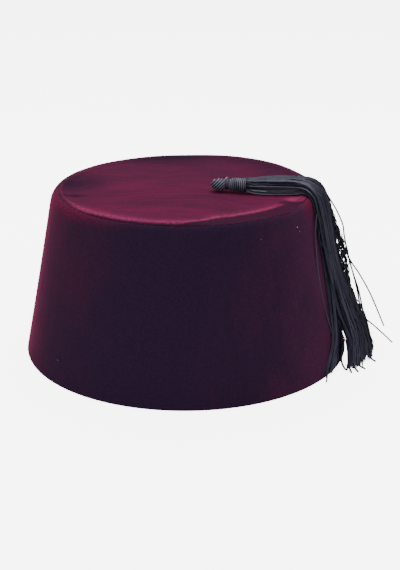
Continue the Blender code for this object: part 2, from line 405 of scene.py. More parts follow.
def finishVelvet(shader, place, roughness, gloss, cloth, normal):
    uniform = {
        "Roughness": roughness,
        "Specular IOR Level": gloss,
        "Sheen Weight": velvetLook["sheen"],
        "Sheen Roughness": velvetLook["sheenRoughness"],
        "Sheen Tint": velvetLook["sheenTint"],
    }
    finishShader(shader, place, uniform, {"Base Color": cloth, "Normal": normal})


def sideVelvet():
    look, marks = velvetLook, sideMarks
    material, shader, place = newMaterial("wine_velvet_side")
    x, y, height = place.parts()
    turn = crownTurn(x, y)

    def belowSeam(mark):
        end, full = sideReach[mark]
        return height.clamped(seamHeight - end * mm, seamHeight - full * mm)

    fine, speckle = velvetGrain(place)
    patches = place.stretched(1, 1, 0.55).noise(look["patch"], 4, 0.55)
    streaks = place.stretched(1, 1, 0.10).noise(look["patch"] * 10, 2, 0.5)
    blots = place.noise(look["patch"] * 3.2, 3, 0.6)
    mottled = 0.3 + 1.2 * blots
    leftSide = abs(turn).clamped(*sideTurns["left"])
    rightCentre, rightFull, rightEnd = sideTurns["right"]
    rightSide = 1 - abs(turn - rightCentre).clamped(rightFull, rightEnd)
    beside = turn.peak(*sideTurns["besideTassel"])
    corner = turn.peak(*sideTurns["tasselCornerHighlight"]) * belowSeam("tasselCornerHighlight")
    leftFold = turn.peak(*sideTurns["leftFold"]) * belowSeam("leftFold")
    under = belowSeam("underSeam")
    aboveRim = 1 - height.clamped(*[edge * mm for edge in sideReach["rimGlow"]])
    rimGlow = turn.peak(*sideTurns["rimGlow"]) * aboveRim
    napAndPaintedLight = patches.clamped(0.42, 0.72) * marks["nap"]
    napAndPaintedLight = napAndPaintedLight + streaks.clamped(0.45, 0.75) * marks["streaks"]
    # Painted sheen, warmer toward the left and right edges and beside the tassel, and painted light
    # near the rim at the front right
    leftPaintedSheen = marks["left"] + under * marks["leftUnderSeam"]
    napAndPaintedLight = napAndPaintedLight + leftSide * leftPaintedSheen * (0.15 + 1.4 * blots)
    napAndPaintedLight = napAndPaintedLight + rightSide * marks["right"] * (0.5 + blots)
    napAndPaintedLight = napAndPaintedLight + beside * marks["besideTassel"] * mottled
    napAndPaintedLight = napAndPaintedLight + rimGlow * marks["rimGlow"] * mottled
    deep = pile(speckle, "night", 0.92, 1.22)
    warm = rightSide.blend(pile(speckle, "plum", 0.90, 1.35), pile(speckle, "mauve", 0.90, 1.35))
    winePile = pile(speckle, "wine", 0.70, 1.15)
    cloth = napAndPaintedLight.clamped().blend(deep, warm)
    # Lighter toward wine: a painted highlight at the ridge corner beside the tassel, painted sheen
    # in the nap's streaks under the seam at the left, and lighter bands just under the seam and at
    # the front left
    towardWine = belowSeam("seamFold") * marks["seamFold"] + corner * marks["tasselCornerHighlight"]
    towardWine = towardWine + leftSide * under * marks["leftStreaks"] * streaks
    towardWine = towardWine + leftFold * (marks["leftFold"] + 0.65 * blots)
    cloth = towardWine.clamped().blend(cloth, winePile)
    normal = fine.bump(0.14, 0.3 * mm, patches.bump(0.15, 3 * mm))
    finishVelvet(shader, place, 0.95, 0.05, cloth, normal)
    return material


def topVelvet():
    look, light, ridge = velvetLook, topLight, ridgeMarks
    material, shader, place = newMaterial("wine_velvet_top")
    x, y, z = place.parts()
    turn = crownTurn(x, y)
    radius = (x * x + y * y).rooted()

    def spot(name):  # a soft round mark, and how strongly it shows
        across, wide, along, deep, strength = topMarks[name]
        return x.peak(across * mm, wide * mm) * y.peak(along * mm, deep * mm), strength

    def edge(value, name):
        return value.clamped(*[end * mm for end in topEdges[name]])

    def inward(line, name):  # a soft line along the ridge
        way, width = ridge[name]
        return radius.peak(line - way * mm, width * mm)

    # Nap brushed along x, with painted light toward the front and right and painted shade at the
    # left and back
    fine, speckle = velvetGrain(place)
    brushed = x.joined(y + 0.07 * (place.noise(13.0, 1, 0.5) - 0.5), z)
    streaks = brushed.stretched(0.17, 1, 1).noise(look["patch"] * 13, 4, 0.65)
    bands = brushed.stretched(0.3, 1, 1).noise(look["patch"] * 2.6, 3, 0.5)
    patches = place.stretched(0.6, 1, 1).noise(look["patch"], 3, 0.5)
    nap = (patches * 0.34 + streaks * 0.36 + bands * 0.30).clamped(0.38, 0.62)
    leftDark, leftStrength = spot("leftDark")
    leftWedge, wedgeStrength = spot("leftWedge")
    ballGlow, ballStrength = spot("ballGlow")
    backDark = edge(y, "back") * x.peak(-12 * mm, 56 * mm)
    rightBack = edge(x, "rightBackAcross") * edge(y, "rightBackAlong")
    lit = light["base"] + light["nap"] * nap + ballStrength * ballGlow
    lit = lit + light["front"] * edge(0 - y, "front")
    lit = lit + light["right"] * edge(x, "right") * (1 - rightBack)
    lit = lit - light["leftLoss"] * leftDark - light["backLoss"] * backDark
    cloth = lit.clamped().blend(pile(speckle, "plum", 0.8, 1.3), pile(speckle, "wine", 0.8, 1.3))
    # Painted shade at the left inside the ridge, at the back and at the back right
    hidden = leftStrength * leftDark * (0.2 + 1.3 * streaks) + wedgeStrength * leftWedge
    hidden = hidden + light["backDark"] * backDark + light["rightBackDark"] * rightBack
    cloth = hidden.clamped(0.0, 1.2).blend(cloth, pile(speckle, "night", 0.45, 0.9))

    # The ridge's bright lines, worn pile with painted highlight, which lie further in where the
    # edge is pressed down; the glow along the front and the patch beside the tassel are painted
    # highlights
    pressed = pressedEdge(turn)
    left = abs(turn).clamped(*ridge["leftDegrees"])
    front = edge(0 - y, "frontFold")
    fray = place.noise(look["patch"] * 26, 2, 0.6).clamped(0.25, 0.7)
    edgeLine = ridgeRadius + ridge["lineOutward"] * mm - ridge["leftInward"] * mm * left
    edgeLine = edgeLine - (hat["chamfer"] + ridge["pressedInward"] * mm) * pressed
    leftLine = inward(ridgeRadius, "leftLine") * (1 - pressed)
    foldInward, foldWidth = ridge["frontFold"]
    foldLine = edgeLine - foldInward * mm * pressed
    foldWidth = foldWidth * mm + ridge["frontFoldWider"] * mm * pressed
    frontFold = front * radius.peak(foldLine, foldWidth)
    glow = front * inward(edgeLine, "glow") * (0.5 + fray)
    patch = turn.peak(*ridge["patchDegrees"]) * inward(ridgeRadius, "patch")
    fold = leftLine * (0.20 + 0.2 * fray) + frontFold * (0.30 + 0.42 * fray)
    fold = fold + patch * light["patch"] + glow * light["glow"]
    cloth = fold.clamped().blend(cloth, pile(speckle, "rose", 0.65, 1.1))

    # Painted shade in the band beyond it and in a notch beside the tassel
    shadeBeyond = radius.clamped(*[edgeLine + past * mm for past in ridge["band"]])
    notch = radius.clamped(*[ridgeRadius - way * mm for way in ridge["notch"]])
    notch = (turn.peak(*ridge["notchDegrees"]) * notch).clamped(0.1, 0.6)
    shadeBeyond = shadeBeyond.maths("MAXIMUM", shadeBeyond, notch)
    dark = speckle.blend(rgba(look["night"], 0.8), rgba(look["plum"], 0.62))
    cloth = (shadeBeyond * (0.96 - 0.22 * fray)).blend(cloth, dark)
    normal = fine.bump(0.30, 0.3 * mm, streaks.bump(0.22, 1.2 * mm))
    finishVelvet(shader, place, 0.9, 0.03, cloth, normal)
    return material


# Silk and other thread
silkLook = {
    "pale": (0.42, 0.415, 0.53),  # for tones above 1, painted light on the strands lowest on the near side
    "gloss": 0.36,
    "tint": (0.78, 0.80, 1.0, 1),
}
threads = {  # dark and light colour, roughness, fibre noise
    "loose_silk": ((0.007, 0.0064, 0.0135), (0.064, 0.062, 0.1), 0.42, 1500.0),
    "wound_silk": ((0.0105, 0.01, 0.018), (0.2, 0.202, 0.265), 0.42, 2200.0),
    "stitch_thread": ((0.024, 0.005, 0.014), (0.11, 0.022, 0.052), 0.8, 2200.0),
    "lint_fibre": ((0.03, 0.02, 0.03), (0.8, 0.74, 0.8), 0.8, 2200.0),
}


def thread(name):
    dark, light, roughness, twist = threads[name]
    material, shader, place = newMaterial(name)
    tone = place.add("ShaderNodeAttribute", {"attribute_name": "tone"}, output=2)
    fibre = place.noise(twist, 2, 0.6)
    shade = (tone * 0.90 + fibre * 0.24).clamped(0.12, 1.0).blend(rgba(dark), rgba(light))
    varied = {
        "Base Color": tone.clamped(1.0, 2.0).blend(shade, rgba(silkLook["pale"])),
        "Roughness": roughness + 0.25 * fibre,
        "Normal": fibre.bump(0.3, 0.2 * mm),
    }
    uniform = {"Specular IOR Level": silkLook["gloss"], "Specular Tint": silkLook["tint"]}
    finishShader(shader, place, uniform, varied)
    return material


velvetSide = sideVelvet()
velvetTop = topVelvet()
looseSilk, woundSilk, stitchThread, lintFibre = [thread(name) for name in threads]
print("materials made")

# Crown wall
wallShape = {
    "segments": 288,
    "rows": 44,
    "rimRound": 0.7 * mm,
    "innerRound": 0.5 * mm,
    "fold": 0.45 * mm,
    "wave": 0.30 * mm,
    "leftRound": 0.7 * mm,  # how far the left shoulder is rubbed down
}


def rubbed(radius, height, azimuth):  # the softer left shoulder of wall, top and stitches
    near = bell(height, seamHeight - 0.5 * mm, 3.2 * mm) * (radius > ridgeRadius - 6 * mm)
    down = wallShape["leftRound"] * near * turnBell(azimuth, 176, 26)
    return radius - down * 0.6, height - down * 0.5


def wallBend(radius, height, azimuth):
    share = np.clip(height / seamHeight, 0, 1)
    wave = np.sin(3 * azimuth + 0.7) * 0.5 + np.sin(5 * azimuth - 1.1 + 2 * share) * 0.3
    wave = wave + np.sin(9 * azimuth + 3 * share) * 0.2
    radius, height = rubbed(radius, height, azimuth)
    return radius + wallShape["wave"] * wave * np.sin(math.pi * share), height


def crownWall():
    look, wall = wallShape, hat["wall"]
    fold, rim, inside = look["fold"], look["rimRound"], look["innerRound"]
    seamShare = seamShareAt(roundTurns(look["segments"]))
    edge, top = shoulderPoint(seamShare)
    top = top - hat["gap"]
    turnedIn = ((1.6, 0.3), (0.8, 0.05), (0.2, 0.25))  # the cloth's fold at the seam
    profile = [(edge - fold * back, top - fold * down) for back, down in turnedIn]
    for share in np.linspace(0.08, 1, 10):
        profile.append(shoulderPoint(seamShare + (1 - seamShare) * share))
    for height in np.linspace(shoulderBase, rim, look["rows"] + 2)[1:-1]:
        profile.append((coneRadius(height), height))
    profile += arc((coneRadius(rim) - rim, rim), rim, 8, -90, 6)
    inner = hat["rimRadius"] - wall
    profile += arc((inner + inside, inside), inside, -90, -180, 3)
    innerTop = coneRadius(shoulderBase) - wall
    for share in np.linspace(0, 1, 12)[1:]:
        height = inside + (shoulderBase - inside) * share
        profile.append((inner + (innerTop - inner) * share, height))
    profile.append((edge - wall, top - 0.5 * mm))
    rings = turnedRings(profile, look["segments"], wallBend)
    faces = ringFaces(len(profile), look["segments"], True)
    points = rings.reshape(-1, 3)
    meshObject("crown_wall", points, faces, velvetSide, ["crown_side"])


crownWall()
print("crown wall made")

# Crown top
topShape = {
    "segments": 288,
    "roll": 7.0 * mm,
    "leftDrop": 0.4 * mm,
    "backLift": 1.2 * mm,
    "farLift": 0.2 * mm,
    "rightDrop": 0.5 * mm,
    "frontSlope": 0.3 * mm,
    "dent": 0.5 * mm,
    "pillow": 0.5 * mm,
    "ripple": 0.12 * mm,
    "pressedLip": 0.25 * mm,
    "plug": 1.6 * mm,  # how far the disc's underside reaches down inside the wall
}


def topBend(radius, height, azimuth):
    look = topShape
    onTop = (height > seamHeight - 0.5 * mm).astype(float)
    lift = look["backLift"] * turnBell(azimuth, 58, 26)
    lift = lift + look["farLift"] * turnBell(azimuth, 105, 30)
    lift = lift - look["leftDrop"] * turnBell(azimuth, 178, 32)
    lift = lift - look["rightDrop"] * turnBell(azimuth, 18, 14)
    change = lift * bell(radius, ridgeRadius, 5.5 * mm)
    reliefs = (  # each with its way in from the ridge and width in mm, then degrees
        (-look["frontSlope"], 3.5, 4.0, -52, 24),
        (-look["dent"], 2.4, 2.2, -35, 6),
        (look["pillow"], 2.5, 2.5, -21, 5),
    )
    for size, inward, width, centre, spread in reliefs:
        near = bell(radius, ridgeRadius - inward * mm, width * mm)
        change = change + size * near * turnBell(azimuth, centre, spread)
    ripple = np.sin(7 * azimuth + 0.5) * np.sin(4 * azimuth + 1.3)
    change = change + look["ripple"] * ripple * bell(radius, ridgeRadius, 9 * mm)
    height = height + onTop * change
    degrees = np.degrees((azimuth + math.pi) % (2 * math.pi) - math.pi)
    pressed = smoothStep(degrees, hat["pressedRise"])
    pressed = pressed * (1 - smoothStep(degrees, hat["pressedFall"])) * onTop
    start = ridgeRadius - hat["chamfer"] * pressed
    run = np.clip((radius - start) / (seamRadius - start), 0, 1)
    slope = topFlat + look["pressedLip"] * bell(radius, start, 2.0 * mm)
    slope = slope + (seamHeight - topFlat) * run**1.2
    return rubbed(radius, height * (1 - pressed) + slope * pressed, azimuth)


def crownTop():
    look = topShape
    segments, roll = look["segments"], look["roll"]
    profile = [(r, topFlat) for r in np.linspace(3 * mm, ridgeRadius - roll, 26)]
    for share in np.linspace(0, 1, 12)[1:]:
        rise = (1 - math.cos(math.pi * share)) / 2
        profile.append((ridgeRadius - roll * (1 - share), topFlat + hat["sink"] * rise))
    seamShare = seamShareAt(roundTurns(segments))
    for share in np.linspace(0, 1, 12)[1:]:
        profile.append(shoulderPoint(seamShare * share))
    edge, lip = profile[-1]
    plug = edge - hat["wall"] - hat["gap"]
    under = seamHeight - look["plug"]
    profile += [(edge - 0.25 * mm, lip - 0.15 * mm), (plug, lip - 0.15 * mm)]
    profile += [(plug, under), (plug * 0.5, under)]
    rings = turnedRings(profile, segments, topBend)
    points = rings.reshape(-1, 3).tolist()
    faces = ringFaces(len(profile), segments, False)
    middle, below = len(points), len(points) + 1
    points += [(0, 0, topFlat), (0, 0, under)]
    last = (len(profile) - 1) * segments
    for k in range(segments):
        n = (k + 1) % segments
        faces.append((middle, k, n))
        faces.append((below, last + n, last + k))
    meshObject("crown_disc", points, faces, velvetTop, ["crown_top"])


crownTop()
print("crown top made")

# Seam stitches and lint
seamLook = {
    "pitch": 1.35 * mm,
    "length": 0.62 * mm,
    "thread": 0.17 * mm,
    "sides": 5,
    "seed": 5,
    "stitch": (  # share of the length, then out and up in mm
        (-0.5, -0.10, 0.0),
        (-0.2, 0.08, -0.16),
        (0.2, 0.08, -0.38),
        (0.5, -0.13, -0.6),
    ),
    "lint": (  # x, y and z in mm, then tone
        (59.8, -50.0, 86.4, 1.0),
        (61.2, -49.1, 83.7, 0.34),
        (39.6, -67.4, 85.0, 0.26),
        (-69.4, -60.8, 13.8, 0.30),
    ),
    "lintFibre": 0.18 * mm,
    "lintReach": (-0.35, -0.1, 0.15, 0.35),
}


def seamStitches():
    look = seamLook
    rng = np.random.default_rng(look["seed"])
    count = int(2 * math.pi * seamRadius / look["pitch"])
    turns = (np.arange(count) + rng.uniform(-0.18, 0.18, count)) * 2 * math.pi / count
    length = look["length"] * rng.uniform(0.7, 1.2, count)
    routes = []
    for along, out, rise in look["stitch"]:
        turn = turns + along * length / seamRadius
        radius, height = shoulderPoint(seamShareAt(turn))
        radius, height = rubbed(radius + out * mm, height + rise * mm, turn)
        routes.append(np.stack([radius * np.cos(turn), radius * np.sin(turn), height], axis=1))
    routes = smoothRoutes(np.stack(routes, axis=1), 2)
    tones = rng.uniform(0.1, 1.0, count)[:, None]
    tubePiece(
        "seam_stitches", routes, look["thread"], look["sides"], tones,
        stitchThread, aside=(0, 0, 1),
    )


def lintSpecks():
    look = seamLook
    rng = np.random.default_rng(look["seed"] + 1)
    lint = np.array(look["lint"])
    places = lint[:, :3] * mm
    outward = unitVectors(places * np.array([1, 1, 0]))
    radius = np.array([coneRadius(z) for z in places[:, 2]])
    places = outward * (radius + 0.1 * mm)[:, None] + places * np.array([0, 0, 1])
    turns = rng.uniform(-1, 1, (len(places), 3))
    routes = np.stack([places + turns * reach * mm for reach in look["lintReach"]], axis=1)
    tubePiece(
        "lint", smoothRoutes(routes, 2), look["lintFibre"], look["sides"], lint[:, 3:],
        lintFibre, aside=(0.3, 0.2, 1),
    )


seamStitches()
lintSpecks()
print("seam stitched")

# Tassel head: wound ball, neck and collar
windingLook = {
    "thread": 0.25 * mm,
    "pitch": 1.08 * mm,
    "ballPitch": 1.12 * mm,
    "ballLean": 38.0,  # degrees that the ball's turns lean
    "ballLong": 1.26,  # the ball is longer along the tassel than it is high
    "ballHigh": 0.86,
    "ballOnward": 0.6 * mm,
    "turnSteps": 26,
    "sides": 7,
    "neckRadius": 3.6 * mm,
    "neckWaist": 0.10,
    "collarLength": 9.4 * mm,
    "collarWaist": 3.75 * mm,
    "collarEnd": 4.05 * mm,
    "collarSwell": 0.12 * mm,
    "collarWaver": 0.06 * mm,
    "knotTurns": (60, 128),  # degrees round the neck
    # The neck's lower tone is painted shade in the crease between ball and collar
    "tones": {"ball": 0.72, "neck": 0.36, "collar": 0.62, "knot": 1.2, "ballCore": 0.10},
    "coreSteps": 14,
    "coreSides": 24,
}


def axisFrame(lean=0.0):  # along, side and up, leaning about the side
    up = Vector((0, 0, 1))
    side = up.cross(tasselAxis)
    turn = Matrix.Rotation(math.radians(lean), 3, side)
    return np.array(turn @ tasselAxis), np.array(side), np.array(turn @ up)


def windingRoute(start, length, radiusAt, pitch, phase, waver=0.0, lean=0.0):
    # A thread wound round the tassel's axis, radiusAt giving its radius along the length
    along, side, up = axisFrame(lean)
    turns = length / pitch
    share = np.linspace(0, 1, int(turns * windingLook["turnSteps"]))
    turn = 2 * math.pi * turns * share + phase
    radius = np.array([radiusAt(s) for s in share])
    run = length * share + waver * np.sin(turn)
    route = np.array(start)[None, :] + run[:, None] * along
    return route + (radius * np.cos(turn))[:, None] * side + (radius * np.sin(turn))[:, None] * up


def woundPiece(name, route, tone, stands=()):
    look = windingLook
    steps = np.arange(len(route)) / look["turnSteps"]
    tones = tone + 0.10 * np.sin(5.1 * steps + 0.8) + 0.12 * np.sin(11.7 * steps)
    tubePiece(
        name, route[None], look["thread"], look["sides"], tones[None, :],
        woundSilk, stands, tuple(tasselAxis),
    )


def corePiece(name, start, length, radiusAt, tone=0.0, shape=np.array):
    # The dark body under the wound thread, bent by shape
    along, side, up = axisFrame()
    steps, sides = windingLook["coreSteps"], windingLook["coreSides"]
    points = []
    for share in np.linspace(0, 1, steps):
        for k in range(sides):
            turn = -2 * math.pi * k / sides
            outward = side * math.cos(turn) + up * math.sin(turn)
            points.append(np.array(start) + along * length * share + outward * radiusAt(share))
    points, faces = shape(np.array(points)), tubeFaces(steps, sides)
    piece = meshObject(name, points, faces, woundSilk)
    pointValues(piece, "tone", np.full(len(points), tone))


def eggShaped(points):  # the ball drawn out along the tassel, and still resting on the top
    away = points - np.array(ballCentre)
    along = away @ np.array(tasselAxis)
    drawn = (windingLook["ballLong"] - 1) * along + windingLook["ballOnward"]
    away = away + drawn[..., None] * np.array(tasselAxis)
    away[..., 2] = (away[..., 2] + ballRadius) * windingLook["ballHigh"] - ballRadius
    return np.array(ballCentre) + away


def tasselHead():
    look = windingLook
    thread, pitch, tones = look["thread"], look["pitch"], look["tones"]
    inner = ballRadius - thread
    leanAxis = Vector(axisFrame(look["ballLean"])[0])
    neckStart = ballCentre + tasselAxis * (ballRadius * 0.93)
    collarStart = collarCentre - tasselAxis * (look["collarLength"] / 2)
    neckLength = (collarStart - neckStart).length

    def ballAt(share):
        return max(0.25 * mm, inner * math.sqrt(max(0, 1 - (2 * share - 1) ** 2)))

    def neckAt(share):
        waist = look["neckWaist"] * math.sin(math.pi * share)
        return look["neckRadius"] * (1.0 - waist) - thread

    def collarAt(share):
        raised = 1 / (1 + math.exp(-(share - 0.72) * 40))
        swell = look["collarSwell"] * math.sin(math.pi * min(1, share / 0.7))
        step = (look["collarEnd"] - look["collarWaist"]) * raised
        return look["collarWaist"] - thread + swell + step

    ballTurns = windingRoute(
        ballCentre - leanAxis * inner, 2 * inner, ballAt, look["ballPitch"], 0.4,
        lean=look["ballLean"],
    )
    neckTurns = windingRoute(neckStart, neckLength, neckAt, pitch, 1.0)
    collarTurns = windingRoute(
        collarStart + tasselAxis * thread, look["collarLength"] - 2 * thread, collarAt, pitch,
        2.0, look["collarWaver"],
    )
    woundPiece("ball_winding", eggShaped(ballTurns), tones["ball"], ["tassel_ball"])
    woundPiece("neck_winding", neckTurns, tones["neck"])
    woundPiece("collar_winding", collarTurns, tones["collar"], ["tassel_collar"])
    along, side, up = axisFrame()
    turns = np.radians(np.linspace(*look["knotTurns"], 9))[:, None]
    knot = (neckAt(0) + 0.45 * mm) * (np.cos(turns) * -side + np.sin(turns) * up)
    knot = np.array(neckStart + tasselAxis * 0.5 * mm) + knot
    woundPiece("neck_knot", knot + along * np.linspace(0, 0.6 * mm, 9)[:, None], tones["knot"])
    corePiece(
        "ball_core", ballCentre - tasselAxis * inner, 2 * inner, lambda s: ballAt(s) * 0.92,
        tones["ballCore"], eggShaped,
    )
    corePiece("neck_core", neckStart, neckLength, lambda s: neckAt(s) * 0.93)
    coreStart, coreLength = collarStart + tasselAxis * 0.2 * mm, look["collarLength"] - 0.4 * mm
    corePiece("collar_core", coreStart, coreLength, lambda s: collarAt(s) * 0.94)


tasselHead()
print("tassel head made")

# Tassel skirt: the strands
skirtLook = {
    "strands": 600,
    "leftShare": 0.24,
    "radius": 0.34 * mm,
    "sides": 3,
    "steps": 2,
    "start": 4.2 * mm,  # from the collar's middle
    "centre": -10.6,  # degrees round the crown where the strands cross the ridge
    "seed": 11,
    "grooveAcross": 2.6 * mm,  # spacing of the painted shade in the grooves between locks on the top
    "grooveHigh": 1.7 * mm,
    "grooveDepth": 0.85,
    "fallLoss": 0.32,  # how much darker the strands are down the upper fall
    "clumpGain": 0.38,  # how much lighter the lower half of the left clump is
    "kinkedStrands": 22,
    "kinkedSteps": 9,
    "kink": 0.9 * mm,
    "kinkPitch": 6.0 * mm,
}
strandSpread = {  # how far locks and strands stray, in shares of the bundle's half width
    "lockAcross": 0.03,
    "lockDepth": 0.06,
    "lockDrift": 0.022,
    "across": 0.24,
    "depth": 0.30,
    "waver": 0.05,
    "wander": 0.55,  # in mm at the tips
    "hidden": 0.2,  # share of the strands that stay black
}

# Each bundle's stations lie at these shares of the top, ridge, shoulder and wall. A station has
# its inner and outer stand-off (mm), left and right (mm across on the top, degrees round the
# crown elsewhere), roundness, and the share of its depth that it keeps at its left side.
stationShares = (
    *(("top", share) for share in (0.00, 0.14, 0.42, 0.74)),
    *(("ridge", 0.0), ("shoulder", 0.5), ("shoulder", 1.0)),
    *(("wall", share) for share in (0.16, 0.35, 0.52, 0.69, 0.85, 1.00)),
)
mainStations = (
    (0.4, 8.1, -3.7, 3.7, 1, 1),
    (0.4, 8.3, -4.9, 4.7, 0.9, 1),
    (0.3, 8.5, -6.8, 8.2, 0.7, 1),
    (0.7, 7.9, -7.4, 9.6, 0.5, 1),
    (1.2, 5.9, -21, -2.4, 0.4, 1),
    (0.7, 3.8, -23.6, -1.6, 0.3, 1),
    (0.5, 3.8, -24.6, -0.9, 0.3, 1),
    (0.5, 4.2, -24.2, 0, 0.3, 1),
    (0.6, 4.4, -23.2, 0, 0.3, 1),
    (0.8, 6, -23, 0, 0.3, 1),
    (2, 9.8, -23.2, -0.5, 0.3, 0.9),
    (6, 14.2, -23.4, -2, 0.3, 0.7),
    (7, 17.6, -27, -7, 0.2, 0.45),
)
mainBundle = {
    "stations": mainStations,
    "columns": 10, "layers": 5, "tips": 0.8, "ragged": 2.2, "slant": 0.0,
}
leftStations = (  # the clump that hugs the crown
    (0.4, 6, -3.7, 0, 1, 1),
    (0.4, 6, -5, -1, 0.9, 1),
    (0.3, 5, -6.9, -2.6, 0.7, 1),
    (0.7, 4.4, -7.7, -3, 0.5, 1),
    (1.2, 3.2, -21.4, -13, 0.4, 1),
    (0.7, 2.4, -24, -14, 0.3, 1),
    (0.4, 2.4, -25, -15, 0.3, 1),
    (0.4, 3, -24.6, -15, 0.3, 1),
    (0.4, 3.2, -23.8, -15, 0.3, 1),
    (0.4, 3.2, -24, -14, 0.3, 1),
    (0.4, 1.6, -24.6, -15, 0.3, 1.9),
    (0.4, 1.2, -27.4, -17, 0.3, 2.2),
    (0.4, 1, -35.4, -20, 0.3, 2),
)
leftBundle = {
    "stations": leftStations,
    "columns": 9, "layers": 2, "tips": 0.5, "ragged": 1.0, "slant": 7.0,
}
kinkedStations = (  # the kinked strands that stand clear on the outer side
    (6, 8, -1, 3.4, 1, 1),
    (6.4, 8.2, -2, 4.4, 0.9, 1),
    (6.8, 8.4, -3, 8, 0.8, 1),
    (6, 7.8, -3, 9, 0.6, 1),
    (4.4, 6, -11, -3, 0.4, 1),
    (3, 4, -11, -2, 0.3, 1),
    (3.2, 4.4, -10, -1, 0.3, 1),
    (3.8, 6.8, -9, 0, 0.3, 1),
    (4.8, 10.6, -9, 0, 0.3, 1),
    (6.2, 9.4, -10, 0, 0.3, 1),
    (9, 10.8, -12, -0.5, 0.3, 1),
    (12.8, 15, -14, -2, 0.3, 1),
    (15.4, 18, -18, -8, 0.2, 1),
)
kinkedBundle = {
    "stations": kinkedStations,
    "columns": 7, "layers": 4, "tips": 1.2, "ragged": 2.0, "slant": 0.0,
}


def stationPlaces(stations, across, depth, lift, wander):
    # across and depth run from -1 to 1 for each strand and station; lift is each tip's height
    start = np.array(collarCentre + tasselAxis * skirtLook["start"])
    end = np.radians(skirtLook["centre"])
    end = ridgeRadius * np.array((math.cos(end), math.sin(end), 0))
    places = []
    for i, (stretch, share) in enumerate(stationShares):
        inner, outer, left, right, roundness, keep = stations[i]
        u, v = across[:, i], depth[:, i]
        narrow, shallow = np.sqrt(1 - v**2 / 2), np.sqrt(1 - u**2 / 2)
        u, v = u * (1 - roundness + roundness * narrow), v * (1 - roundness + roundness * shallow)
        thin = keep + (1 - keep) * np.clip((u + 1) / 2, 0, 1)
        off = (inner + (outer - inner) * (v + 1) / 2 * thin) * mm
        side = left + (right - left) * (u + 1) / 2
        if stretch == "top":
            middle = start * (1 - share) + end * share
            point = np.stack([middle[0] + 0 * u, middle[1] + side * mm, topFlat + off], axis=1)
            if share == 0:
                point[:, 2] = collarCentre.z + v * (outer - inner) / 2 * mm
        else:
            turn = np.radians(side)
            if stretch == "ridge":
                radius, height = ridgeRadius + 0 * off, hat["ridgeHeight"] + off
            elif stretch == "shoulder":
                edge, top = shoulderPoint(share)
                lean = math.hypot(share, 1 - share)
                radius, height = edge + off * share / lean, top + off * (1 - share) / lean
            else:
                height = shoulderBase + (lift - shoulderBase) * share
                radius = coneRadius(height) + off
            point = np.stack([radius * np.cos(turn), radius * np.sin(turn), height], axis=1)
        places.append(point + wander[:, i] * mm)
    return np.stack(places, axis=1)


def strandSet(rng, count, bundle):  # the places and a tone of each strand
    spread = strandSpread
    columns, layers, stations = bundle["columns"], bundle["layers"], len(bundle["stations"])
    locks = columns * layers
    column, layer = np.arange(locks) % columns, np.arange(locks) // columns
    shift = (layer % 2) * 0.5 - 0.25
    lockAcross = np.clip(-0.96 + 1.92 * (column + 0.5 + shift) / columns, -0.96, 0.96)
    lockAcross = lockAcross + rng.normal(0, spread["lockAcross"], locks)
    lockDepth = -0.92 + 1.84 * layer / max(1, layers - 1)
    lockDepth = lockDepth + rng.normal(0, spread["lockDepth"], locks)
    drift = np.cumsum(rng.normal(0, spread["lockDrift"], (locks, stations)), axis=1)
    pick = np.arange(count) % locks
    loosening = np.linspace(0.3, 1.0, stations)[None, :] ** 1.5
    gather = np.array([0.5, 0.7] + [1.0] * (stations - 2))[None, :]
    aside = rng.normal(0, spread["across"] / columns, (count, 1)) * (0.6 + 1.4 * loosening)
    across = lockAcross[pick][:, None] + drift[pick] * gather + aside
    deeper = rng.normal(0, spread["depth"] / max(2, layers), (count, 1))
    depth = lockDepth[pick][:, None] + deeper + rng.normal(0, spread["waver"], (count, stations))
    loose = np.linspace(0, 1, stations) ** 1.6
    wander = rng.normal(0, spread["wander"], (count, stations, 3)) * loose[None, :, None]
    wander[:, :6] *= 0.3  # down to the shoulder
    uneven = rng.uniform(0, bundle["ragged"], locks)[pick]
    rightward = (across[:, -1] + 1) / 2
    lift = 0.4 + uneven + rng.gamma(1.3, bundle["tips"], count) + bundle["slant"] * rightward
    tones = 0.4 * rng.uniform(0, 1, locks)[pick] + 0.6 * rng.uniform(0, 1, count)
    # Locks beneath the outer layer, apart from the first column, are painted darker: painted shade
    # under the outer locks
    outer = (layer == layers - 1) | (column == 0)
    tones = tones * (rng.uniform(0, 1, count) > spread["hidden"])
    tones = tones * np.where(outer, 1.0, 0.4)[pick]
    across, depth = np.clip(across, -1.04, 1.04), np.clip(depth, -1, 1.05)
    return stationPlaces(bundle["stations"], across, depth, lift * mm, wander), tones


def aboveFloor(routes, clearance):
    routes[:, :, 2] = np.maximum(routes[:, :, 2], clearance)
    return routes


